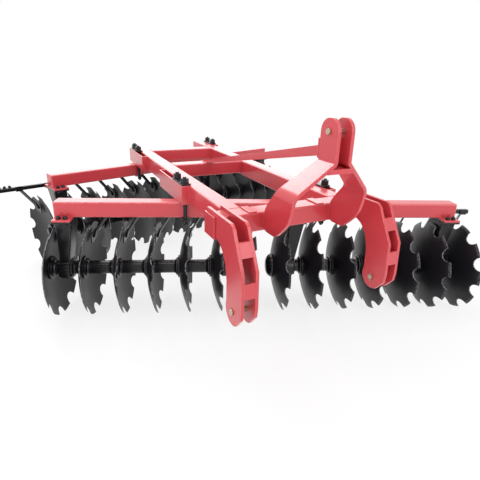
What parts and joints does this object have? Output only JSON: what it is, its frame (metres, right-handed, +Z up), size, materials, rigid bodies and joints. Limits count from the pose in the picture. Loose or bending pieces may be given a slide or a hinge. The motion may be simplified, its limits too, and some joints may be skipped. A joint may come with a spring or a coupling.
{
  "type": "mounted offset disc harrow",
  "caption": "Mounted offset disc harrow: a welded frame with a top-link mast and lower clevises carries angled rows of notched discs on spooled axles, with bearing hangers and scrapers.",
  "frame": {"origin": "on the ground under the middle of the machine's bounding box", "axes": "+Z up, -Y towards the tractor (the hitch side), +X to the right when facing along +Y from the hitch"},
  "size_m": [3.0938, 3.0478, 1.3683],
  "materials": {
    "red_paint": "semi-gloss coral-red enamel on welded steel",
    "black_paint": "satin black enamel on spools, hangers, clamps and scrapers",
    "disc_steel": "dark satin coating on dished steel with a ground rim",
    "pin_steel": "zinc-plated pins"
  },
  "bodies": {
    "frame": {"front_crossbeam": "red_paint", "front_gang_beam": "red_paint", "front_left_clamp": "black_paint", "front_left_hanger_inner": "black_paint", "front_left_hanger_outer": "black_paint", "front_right_clamp": "black_paint", "front_right_hanger_inner": "black_paint", "front_right_hanger_outer": "black_paint", "front_scrapers": "black_paint", "left_hitch_clevis": "red_paint", "left_hitch_pin": "pin_steel", "left_longitudinal": "red_paint", "mast_brace": "red_paint", "mast_left_leg": "red_paint", "mast_right_leg": "red_paint", "middle_crossbeam": "red_paint", "rear_crossbeam": "red_paint", "rear_gang_beam": "red_paint", "rear_left_clamp": "black_paint", "rear_left_hanger_inner": "black_paint", "rear_left_hanger_outer": "black_paint", "rear_right_clamp": "black_paint", "rear_right_hanger_inner": "black_paint", "rear_right_hanger_outer": "black_paint", "rear_scrapers": "black_paint", "right_hitch_clevis": "red_paint", "right_hitch_pin": "pin_steel", "right_longitudinal": "red_paint", "top_link_pin": "pin_steel"},
    "front_left_gang": {"front_left_axle": "black_paint", "front_disc_1": "disc_steel", "front_disc_2": "disc_steel", "front_disc_3": "disc_steel", "front_disc_4": "disc_steel", "front_disc_5": "disc_steel", "front_disc_6": "disc_steel", "front_disc_7": "disc_steel"},
    "front_right_gang": {"front_right_axle": "black_paint", "front_disc_8": "disc_steel", "front_disc_9": "disc_steel", "front_disc_10": "disc_steel", "front_disc_11": "disc_steel", "front_disc_12": "disc_steel", "front_disc_13": "disc_steel", "front_disc_14": "disc_steel"},
    "rear_left_gang": {"rear_left_axle": "black_paint", "rear_disc_1": "disc_steel", "rear_disc_2": "disc_steel", "rear_disc_3": "disc_steel", "rear_disc_4": "disc_steel", "rear_disc_5": "disc_steel", "rear_disc_6": "disc_steel", "rear_disc_7": "disc_steel"},
    "rear_right_gang": {"rear_right_axle": "black_paint", "rear_disc_8": "disc_steel", "rear_disc_9": "disc_steel", "rear_disc_10": "disc_steel", "rear_disc_11": "disc_steel", "rear_disc_12": "disc_steel", "rear_disc_13": "disc_steel"}
  },
  "joints": [
    {"name": "front_left_gang_spin", "type": "hinge", "parent": "frame", "child": "front_left_gang", "pos_m": [-1.23907, -0.1916, 0.305], "axis": [0.9272, -0.3746, 0], "continuous": true},
    {"name": "front_right_gang_spin", "type": "hinge", "parent": "frame", "child": "front_right_gang", "pos_m": [0.12389, -0.74227, 0.305], "axis": [0.9272, -0.3746, 0], "continuous": true},
    {"name": "rear_left_gang_spin", "type": "hinge", "parent": "frame", "child": "rear_left_gang", "pos_m": [-1.199, 0.51051, 0.305], "axis": [0.9553, 0.2957, 0], "continuous": true},
    {"name": "rear_right_gang_spin", "type": "hinge", "parent": "frame", "child": "rear_right_gang", "pos_m": [0.20525, 0.94521, 0.305], "axis": [0.9553, 0.2957, 0], "continuous": true}
  ]
}
